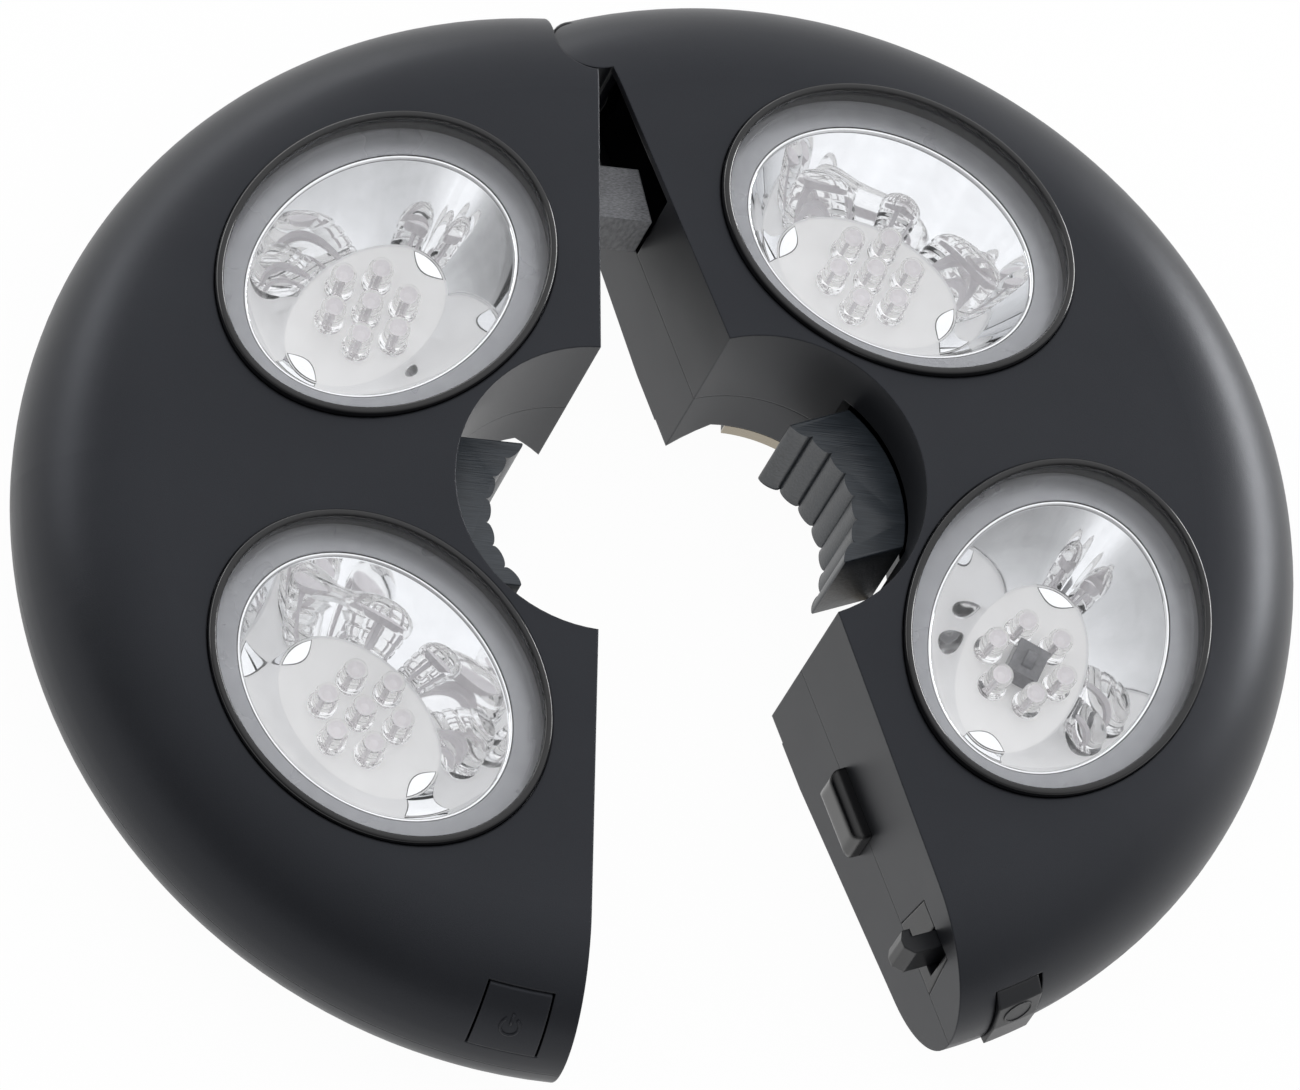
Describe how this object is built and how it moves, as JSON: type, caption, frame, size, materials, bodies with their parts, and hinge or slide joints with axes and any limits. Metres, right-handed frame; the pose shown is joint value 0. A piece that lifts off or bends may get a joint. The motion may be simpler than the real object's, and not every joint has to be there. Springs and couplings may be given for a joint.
{
  "type": "patio umbrella light",
  "caption": "Round clamp-on light in two hinged halves that closes round an umbrella pole, with oval lamps facing one way and sprung grip pads in the bore.",
  "frame": {"origin": "Centre of the closed pole opening, on the plane that the back rests on.", "axes": "+Z is the side the lamps shine from. +Y points to the hinge. The left half is at -X and fixed; the right half is stored swung open by 21.4 degrees."},
  "size_m": [0.2572, 0.2295, 0.0538],
  "materials": {
    "shell": "fine grained charcoal moulding",
    "door": "fine grained charcoal moulding",
    "inner_plastic": "plain black moulding",
    "cell": "plain sleeved cell",
    "contact": "nickel plated",
    "screw": "zinc plated",
    "grip": "matt grey-blue rubber with a light grain",
    "spring": "bright spring steel",
    "bezel": "satin black ring",
    "lens": "clear polished",
    "reflector": "bright plated bowl",
    "board": "white board",
    "led": "clear polished",
    "receiver": "dark infrared window",
    "pin": "plain ground",
    "arm": "matt charcoal moulding",
    "peg": "glossy black",
    "latch": "plain dark moulding",
    "button": "plain dark moulding"
  },
  "bodies": {
    "left_half": {"left_back_shell": "shell", "left_batteries": "cell", "left_battery_contacts": "contact", "left_battery_door": "door", "left_battery_tray": "inner_plastic", "left_case_screws": "screw", "left_door_screw": "screw", "left_front_shell": "shell", "left_pad_leaf_spring": "spring", "lower_left_bezel": "bezel", "lower_left_led_board": "board", "lower_left_leds": "led", "lower_left_lens": "lens", "lower_left_reflector": "reflector", "upper_left_bezel": "bezel", "upper_left_led_board": "board", "upper_left_leds": "led", "upper_left_lens": "lens", "upper_left_reflector": "reflector", "hinge_pin": "pin", "wire_guard_arm": "arm", "control_board": "board", "power_switch": "inner_plastic"},
    "right_half": {"lower_right_bezel": "bezel", "lower_right_led_board": "board", "lower_right_leds": "led", "lower_right_lens": "lens", "lower_right_reflector": "reflector", "right_back_shell": "shell", "right_batteries": "cell", "right_battery_contacts": "contact", "right_battery_door": "door", "right_battery_tray": "inner_plastic", "right_case_screws": "screw", "right_door_screw": "screw", "right_front_shell": "shell", "right_pad_leaf_spring": "spring", "upper_right_bezel": "bezel", "upper_right_led_board": "board", "upper_right_leds": "led", "upper_right_lens": "lens", "upper_right_reflector": "reflector", "remote_receiver": "receiver", "locating_peg": "peg", "latch_pin": "pin", "latch_guide": "latch", "latch_spring": "spring"},
    "latch": {"latch_lever": "latch", "release_button": "button"},
    "power_tab": {"power_tab": "shell"},
    "left_pad": {"left_grip_pad": "grip"},
    "right_pad": {"right_grip_pad": "grip"}
  },
  "joints": [
    {"name": "main_hinge", "type": "hinge", "parent": "left_half", "child": "right_half", "pos_m": [0, 0.1, 0.0237], "axis": [0, 0, 1], "range_deg": [-21.4, 18.6]},
    {"name": "latch_release", "type": "hinge", "parent": "right_half", "child": "latch", "pos_m": [0.07877, -0.0877, 0.03], "axis": [0, 0, 1], "range_deg": [0, 6], "stiffness_Nm_per_rad": 0.05, "springref_deg": -8.59, "deforming": ["latch_spring"]},
    {"name": "power_press", "type": "hinge", "parent": "left_half", "child": "power_tab", "pos_m": [-0.01297, -0.10762, 0.0296], "axis": [-0.9914, 0.1305, 0], "range_deg": [0, 3.2], "stiffness_Nm_per_rad": 0.3, "springref_deg": -1.72},
    {"name": "left_pad_slide", "type": "slide", "parent": "left_half", "child": "left_pad", "axis": [-1, 0, 0], "range_m": [0, 0.004], "stiffness_N_per_m": 1500, "springref_m": -0.001, "deforming": ["left_pad_leaf_spring"]},
    {"name": "right_pad_slide", "type": "slide", "parent": "right_half", "child": "right_pad", "axis": [0.9311, 0.3649, 0], "range_m": [0, 0.004], "stiffness_N_per_m": 1500, "springref_m": -0.001, "deforming": ["right_pad_leaf_spring"]}
  ]
}
